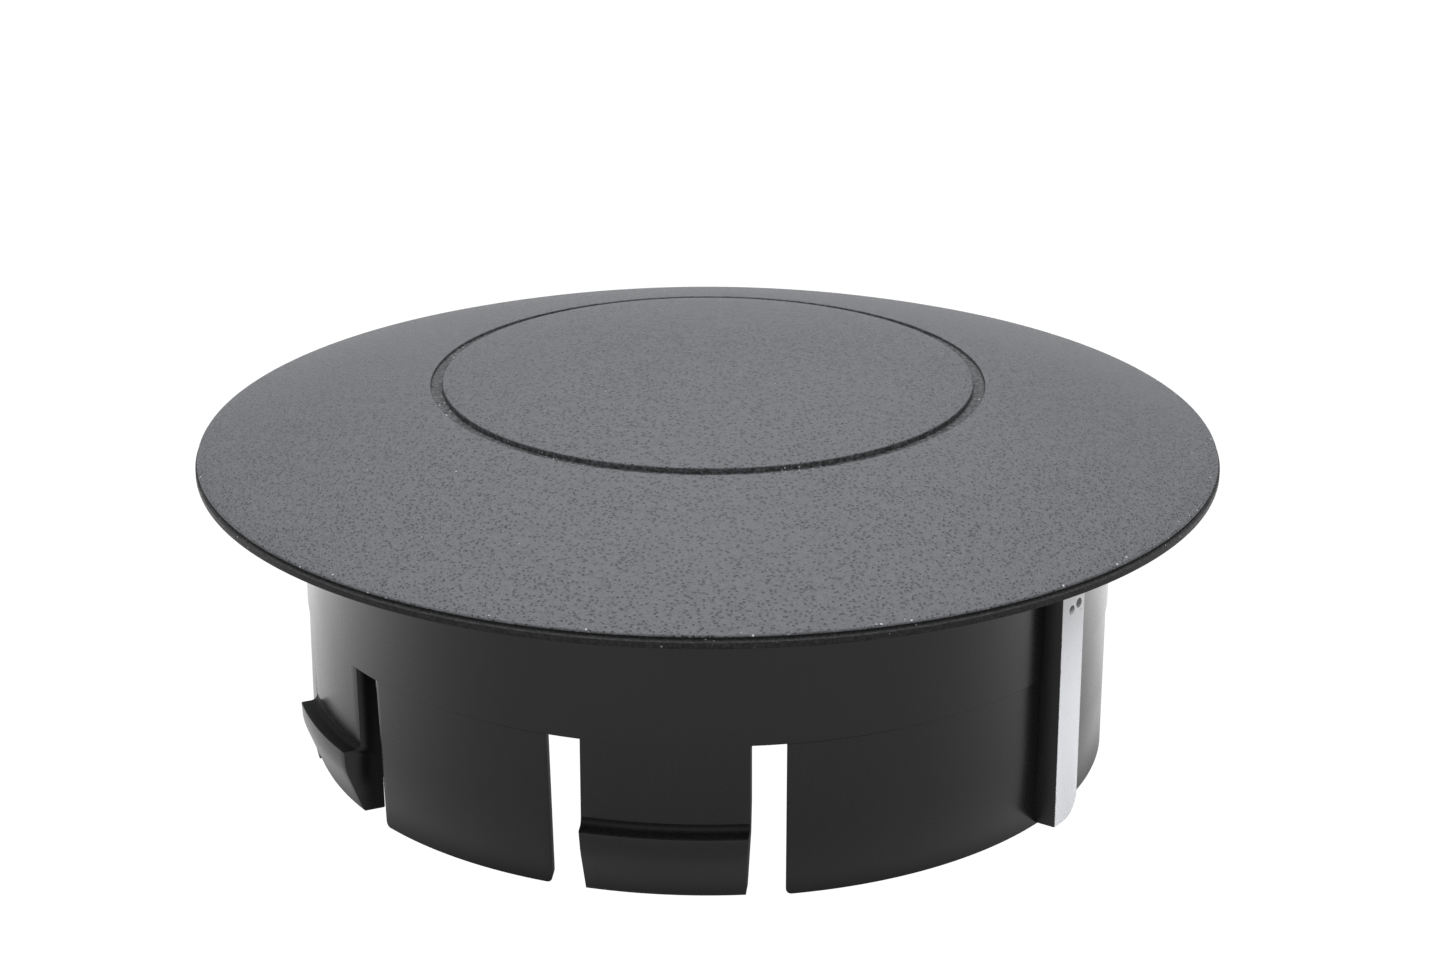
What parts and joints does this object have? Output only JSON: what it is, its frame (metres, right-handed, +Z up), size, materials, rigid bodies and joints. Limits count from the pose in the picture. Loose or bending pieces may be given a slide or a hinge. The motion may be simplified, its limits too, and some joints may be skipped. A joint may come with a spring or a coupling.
{
  "type": "desk grommet",
  "caption": "Round domed blanking cap for a desk cable hole, with a fine-textured top, a thin ring groove and a short skirt with sprung hooked tongues and key ribs.",
  "frame": {"origin": "on the cap's axis, in the plane of the skirt's bottom edge", "axes": "+Z up along the axis, out of the domed top; the two key ribs lie 1.9 degrees on from the X axis, and the pairs of tongues lie either side of the Y axis"},
  "size_m": [0.0746, 0.0746, 0.029],
  "materials": {
    "cover_plastic": "fine spark-textured moulding",
    "skirt_plastic": "plain tool finish, semi-gloss"
  },
  "bodies": {
    "cap": {"cover_dome": "cover_plastic", "centre_disc": "cover_plastic", "skirt_collar": "skirt_plastic", "skirt_wall_front": "skirt_plastic", "skirt_wall_right": "skirt_plastic", "skirt_wall_rear": "skirt_plastic", "skirt_wall_left": "skirt_plastic", "key_rib_right": "skirt_plastic", "key_rib_left": "skirt_plastic"},
    "tongue_front_right": {"snap_tongue_front_right": "skirt_plastic"},
    "tongue_rear_right": {"snap_tongue_rear_right": "skirt_plastic"},
    "tongue_rear_left": {"snap_tongue_rear_left": "skirt_plastic"},
    "tongue_front_left": {"snap_tongue_front_left": "skirt_plastic"}
  },
  "joints": [
    {"name": "tongue_front_right_flex", "type": "hinge", "parent": "cap", "child": "tongue_front_right", "pos_m": [0.01506, -0.02467, 0.01115], "axis": [0.8536, 0.521, 0], "range_deg": [0, 8], "stiffness_Nm_per_rad": 1.2},
    {"name": "tongue_rear_right_flex", "type": "hinge", "parent": "cap", "child": "tongue_rear_right", "pos_m": [0.01379, 0.0254, 0.01115], "axis": [-0.8788, 0.4772, 0], "range_deg": [0, 8], "stiffness_Nm_per_rad": 1.2},
    {"name": "tongue_rear_left_flex", "type": "hinge", "parent": "cap", "child": "tongue_rear_left", "pos_m": [-0.01506, 0.02467, 0.01115], "axis": [-0.8536, -0.521, 0], "range_deg": [0, 8], "stiffness_Nm_per_rad": 1.2},
    {"name": "tongue_front_left_flex", "type": "hinge", "parent": "cap", "child": "tongue_front_left", "pos_m": [-0.01379, -0.0254, 0.01115], "axis": [0.8788, -0.4772, 0], "range_deg": [0, 8], "stiffness_Nm_per_rad": 1.2}
  ]
}
